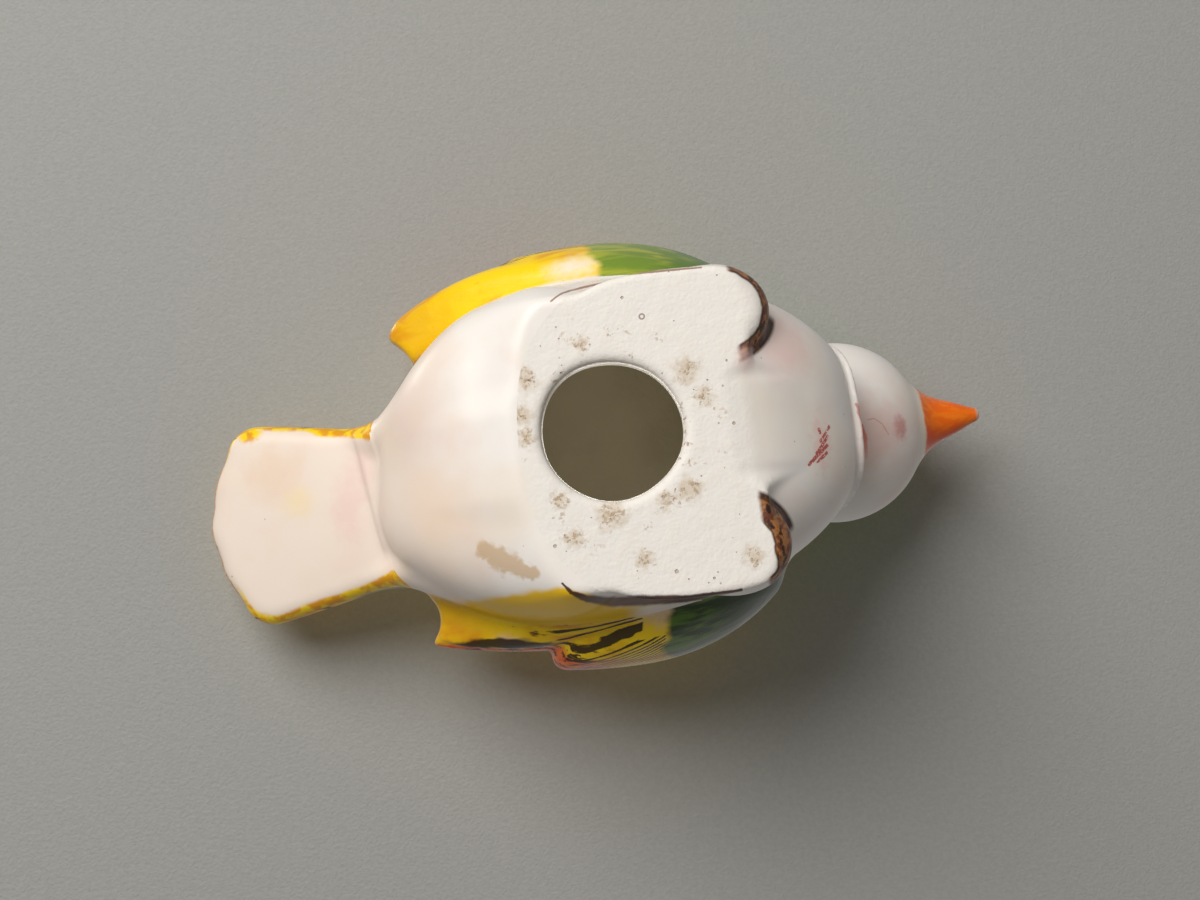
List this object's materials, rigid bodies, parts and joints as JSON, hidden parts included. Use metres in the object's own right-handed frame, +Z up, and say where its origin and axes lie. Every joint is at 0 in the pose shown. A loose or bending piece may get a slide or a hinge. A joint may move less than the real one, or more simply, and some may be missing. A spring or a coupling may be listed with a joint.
{
  "type": "porcelain bird figurine",
  "caption": "Hollow glazed porcelain bird with folded wings, fan tail and cone beak, standing on a flat ground foot with a round vent hole",
  "frame": {"origin": "centre of the bounding box in plan, on the plane the foot pad rests on", "axes": "+X towards the beak, +Y towards the bird's left wing, +Z up"},
  "size_m": [0.1142, 0.0608, 0.0536],
  "materials": {
    "body_shell": "clear gloss glaze over white porcelain with hand-painted colours",
    "foot_pad": "matte ground porcelain with brown painted edges",
    "head_shell": "clear gloss glaze over white porcelain with hand-painted colours",
    "beak": "gloss orange paint under glaze",
    "tail": "clear gloss glaze, cream below and yellow above",
    "wing_left": "gloss yellow with brown feather strokes and a green shoulder",
    "wing_right": "gloss yellow with brown feather strokes and a green shoulder"
  },
  "bodies": {
    "root": {"body_shell": "body_shell", "foot_pad": "foot_pad", "head_shell": "head_shell", "beak": "beak", "tail": "tail", "wing_left": "wing_left", "wing_right": "wing_right"}
  },
  "joints": []
}
